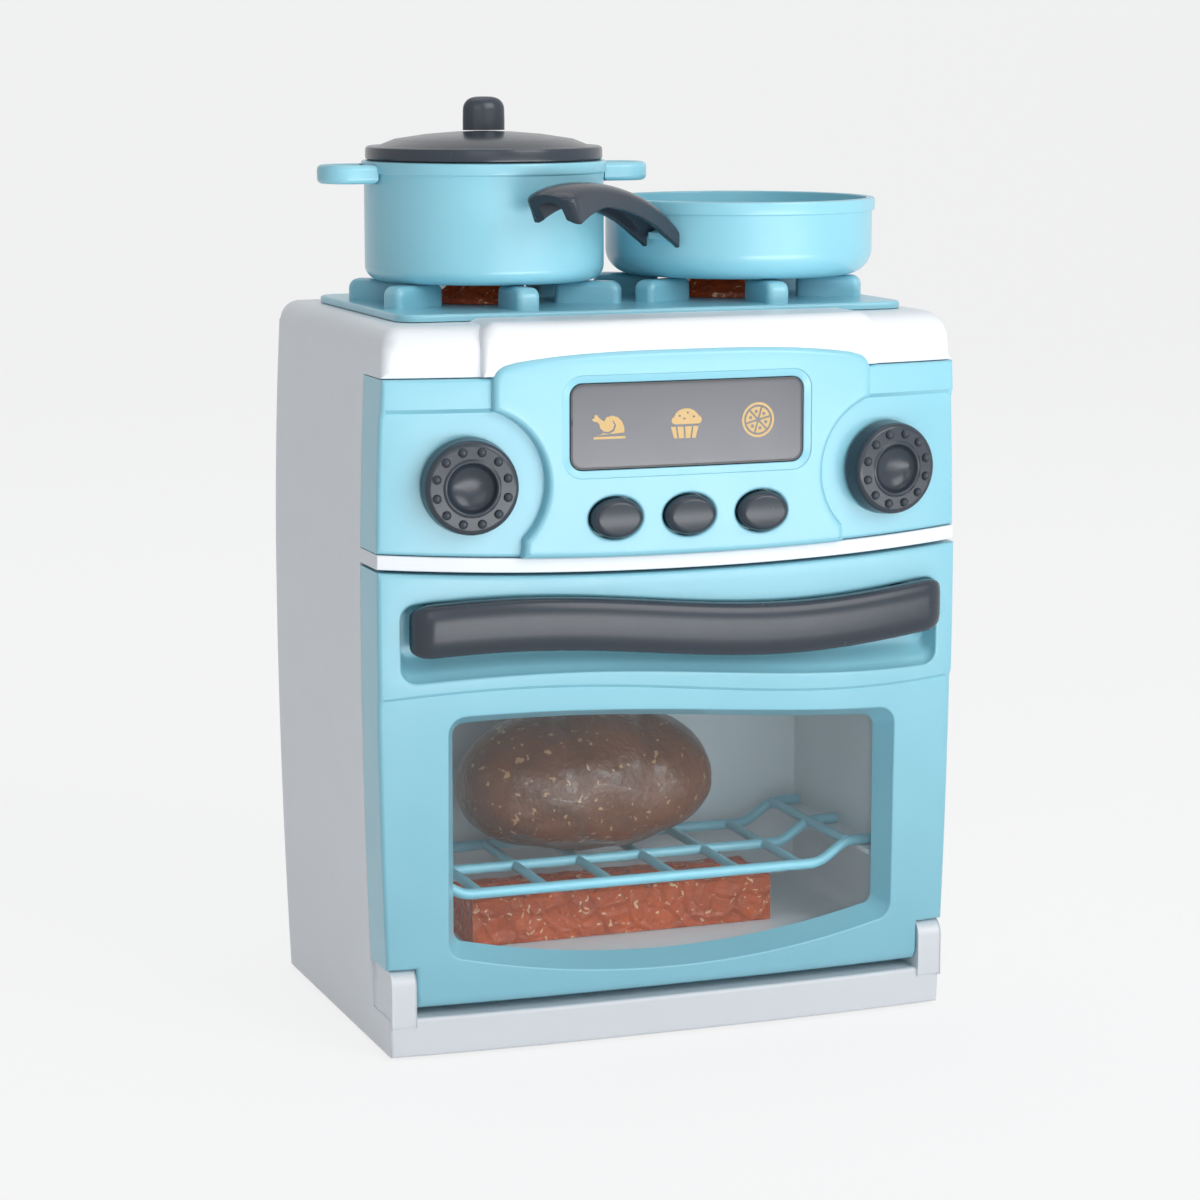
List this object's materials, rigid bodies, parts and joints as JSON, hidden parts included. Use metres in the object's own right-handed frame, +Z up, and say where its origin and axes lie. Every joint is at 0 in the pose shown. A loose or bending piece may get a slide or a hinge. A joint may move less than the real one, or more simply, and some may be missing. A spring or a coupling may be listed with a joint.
{
  "type": "toy cooker",
  "caption": "Table-top toy cooker with a drop-down oven door, turning dials, push buttons, a hob, a lidded pot, a pan and play food.",
  "frame": {"origin": "on the floor under the feet, below the middle of the whole set's bounding box", "axes": "+Z up, +X to the right seen from the front, -Y out of the oven door"},
  "size_m": [0.21, 0.1502, 0.3207],
  "materials": {
    "teal_plastic": "moulded, satin gloss",
    "white_plastic": "moulded, satin gloss",
    "liner_plastic": "moulded, satin",
    "charcoal_plastic": "moulded, soft satin",
    "smoked_plastic": "smoked, polished",
    "clear_plastic": "clear moulded sheet, polished",
    "flame_plastic": "translucent, moulded",
    "roast_plastic": "moulded, sprayed darker at the folds",
    "egg_white_plastic": "moulded, satin",
    "egg_yolk_plastic": "moulded, gloss",
    "screw_steel": "zinc plated",
    "board_laminate": "lacquered laminate",
    "black_plastic": "moulded",
    "lamp_epoxy": "clear cast",
    "battery_metal": "wrapped steel can",
    "foot_rubber": "moulded, matt"
  },
  "bodies": {
    "cabinet": {"cabinet_shell": "white_plastic", "control_panel": "teal_plastic", "display_window": "smoked_plastic", "circuit_board": "board_laminate", "switch_1": "black_plastic", "switch_2": "black_plastic", "switch_3": "black_plastic", "display_lamp_1": "lamp_epoxy", "display_lamp_2": "lamp_epoxy", "display_lamp_3": "lamp_epoxy", "oven_liner": "liner_plastic", "ember_block": "flame_plastic", "ember_lamp": "lamp_epoxy", "hob_tray": "teal_plastic", "burner_left": "flame_plastic", "burner_right": "flame_plastic", "burner_lamp_left": "lamp_epoxy", "burner_lamp_right": "lamp_epoxy", "back_cover": "white_plastic", "back_screw_1": "screw_steel", "back_screw_2": "screw_steel", "back_screw_3": "screw_steel", "back_screw_4": "screw_steel", "battery_box": "white_plastic", "battery_1": "battery_metal", "battery_2": "battery_metal", "battery_3": "battery_metal", "battery_cover": "white_plastic", "battery_cover_screw": "screw_steel", "speaker": "black_plastic", "base_plate": "white_plastic", "foot_1": "foot_rubber", "foot_2": "foot_rubber", "foot_3": "foot_rubber", "foot_4": "foot_rubber"},
    "door": {"door_shell": "teal_plastic", "door_window": "clear_plastic", "door_handle": "charcoal_plastic", "handle_screw_left": "screw_steel", "handle_screw_right": "screw_steel", "hinge_pin_left": "screw_steel", "hinge_pin_right": "screw_steel"},
    "left_dial": {"dial_left": "charcoal_plastic", "dial_screw_left": "screw_steel"},
    "right_dial": {"dial_right": "charcoal_plastic", "dial_screw_right": "screw_steel"},
    "left_button": {"button_1": "charcoal_plastic"},
    "middle_button": {"button_2": "charcoal_plastic"},
    "right_button": {"button_3": "charcoal_plastic"},
    "rack": {"oven_rack": "teal_plastic"},
    "roast_joint": {"roast": "roast_plastic"},
    "pot": {"pot_body": "teal_plastic"},
    "lid": {"lid_shell": "charcoal_plastic", "lid_knob": "charcoal_plastic"},
    "pan": {"pan_body": "teal_plastic", "pan_handle": "charcoal_plastic"},
    "egg": {"egg_white": "egg_white_plastic", "egg_yolk": "egg_yolk_plastic"}
  },
  "joints": [
    {"name": "door_hinge", "type": "hinge", "parent": "cabinet", "child": "door", "pos_m": [0, -0.0528, 0.0235], "axis": [1, 0, 0], "range_deg": [0, 90]},
    {"name": "left_dial_turn", "type": "hinge", "parent": "cabinet", "child": "left_dial", "pos_m": [-0.075, -0.06263, 0.1953], "axis": [-0.143, -0.9897, 0], "continuous": true},
    {"name": "right_dial_turn", "type": "hinge", "parent": "cabinet", "child": "right_dial", "pos_m": [0.075, -0.06263, 0.1953], "axis": [0.143, -0.9897, 0], "continuous": true},
    {"name": "left_button_press", "type": "slide", "parent": "cabinet", "child": "left_button", "axis": [0, 1, 0], "range_m": [0, 0.002], "stiffness_N_per_m": 400},
    {"name": "middle_button_press", "type": "slide", "parent": "cabinet", "child": "middle_button", "axis": [0, 1, 0], "range_m": [0, 0.002], "stiffness_N_per_m": 400},
    {"name": "right_button_press", "type": "slide", "parent": "cabinet", "child": "right_button", "axis": [0, 1, 0], "range_m": [0, 0.002], "stiffness_N_per_m": 400},
    {"name": "rack_slide", "type": "slide", "parent": "cabinet", "child": "rack", "axis": [0, -1, 0], "range_m": [0, 0.012]},
    {"name": "roast_lift", "type": "slide", "parent": "rack", "child": "roast_joint", "axis": [0, 0, 1], "range_m": [0, 0.04]},
    {"name": "pot_lift", "type": "slide", "parent": "cabinet", "child": "pot", "axis": [0, 0, 1], "range_m": [0, 0.08]},
    {"name": "lid_lift", "type": "slide", "parent": "pot", "child": "lid", "axis": [0, 0, 1], "range_m": [0, 0.05]},
    {"name": "pan_lift", "type": "slide", "parent": "cabinet", "child": "pan", "axis": [0.9348, 0, 0.3552], "range_m": [0, 0.08]},
    {"name": "egg_lift", "type": "slide", "parent": "pan", "child": "egg", "axis": [0, 0, 1], "range_m": [0, 0.05]}
  ]
}
